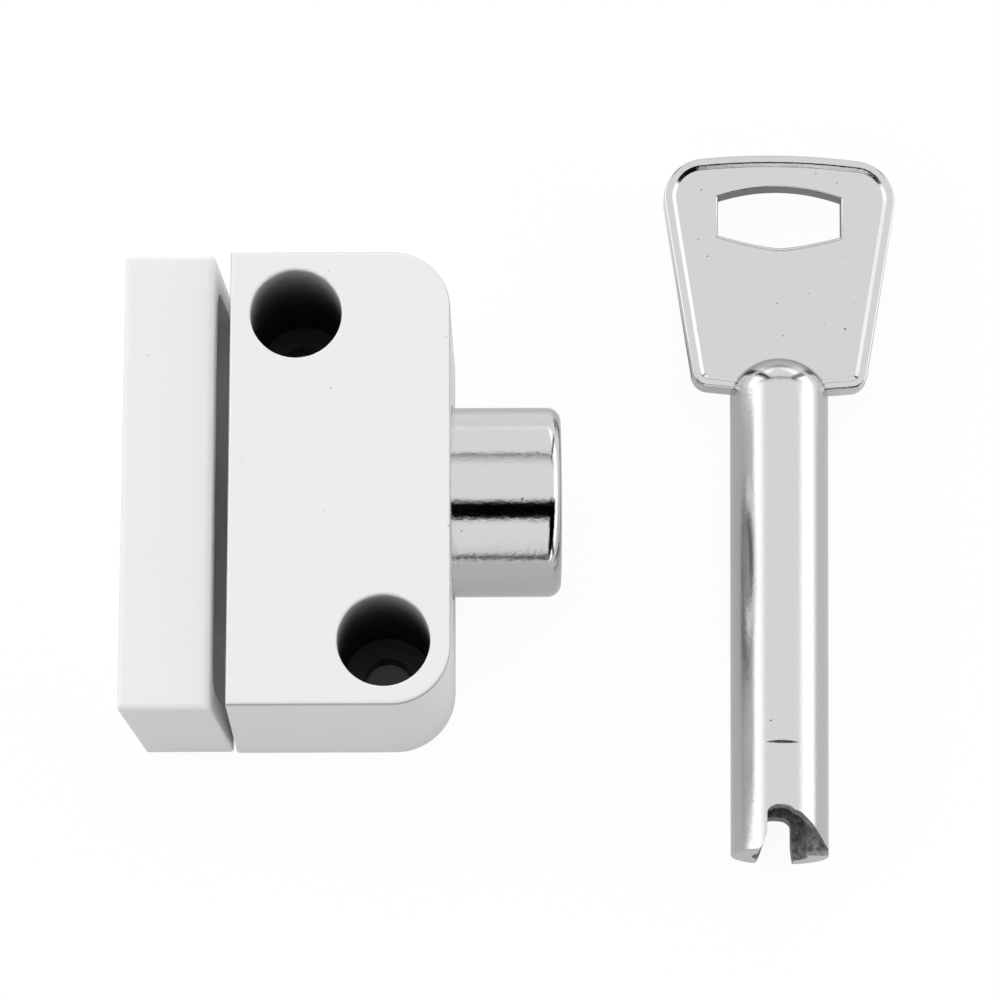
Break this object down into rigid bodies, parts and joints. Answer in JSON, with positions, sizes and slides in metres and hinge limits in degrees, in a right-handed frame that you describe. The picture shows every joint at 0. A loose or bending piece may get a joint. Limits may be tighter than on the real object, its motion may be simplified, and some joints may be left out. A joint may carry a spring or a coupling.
{
  "type": "window push lock",
  "caption": "Surface-mounted window lock: white block case with a sprung chrome push button and bolt, a raked keeper block, and a loose tubular key.",
  "frame": {"origin": "middle of the case's back face, halfway between its two screw holes", "axes": "+Z out of the case's front face, +X from the keeper to the push button, +Y along the case"},
  "size_m": [0.0669, 0.0628, 0.0195],
  "materials": {
    "white_paint": "satin",
    "chrome_plate": "polished",
    "nickel_plate": "polished",
    "steel": "satin",
    "spring_steel": "satin"
  },
  "bodies": {
    "lock": {"lock_case": "white_paint", "keeper": "white_paint", "stop_pin": "steel", "return_spring": "spring_steel", "key": "nickel_plate"},
    "plunger": {"push_button": "chrome_plate", "bolt": "steel", "catch_spring": "spring_steel"},
    "cam": {"key_cam": "steel"},
    "catch": {"catch": "steel"}
  },
  "joints": [
    {"name": "button_push", "type": "slide", "parent": "lock", "child": "plunger", "axis": [-1, 0, 0], "range_m": [0, 0.0068], "stiffness_N_per_m": 500, "springref_m": -0.008, "deforming": ["return_spring"]},
    {"name": "key_turn", "type": "hinge", "parent": "plunger", "child": "cam", "pos_m": [0.0113, 0, 0.01], "axis": [1, 0, 0], "range_deg": [0, 90]},
    {"name": "catch_lift", "type": "slide", "parent": "plunger", "child": "catch", "axis": [0, 0, 1], "range_m": [0, 0.0003], "deforming": ["catch_spring"]}
  ],
  "couplings": [
    {"joint": "key_turn", "follows": "catch_lift", "rad_per_m": 5235}
  ]
}
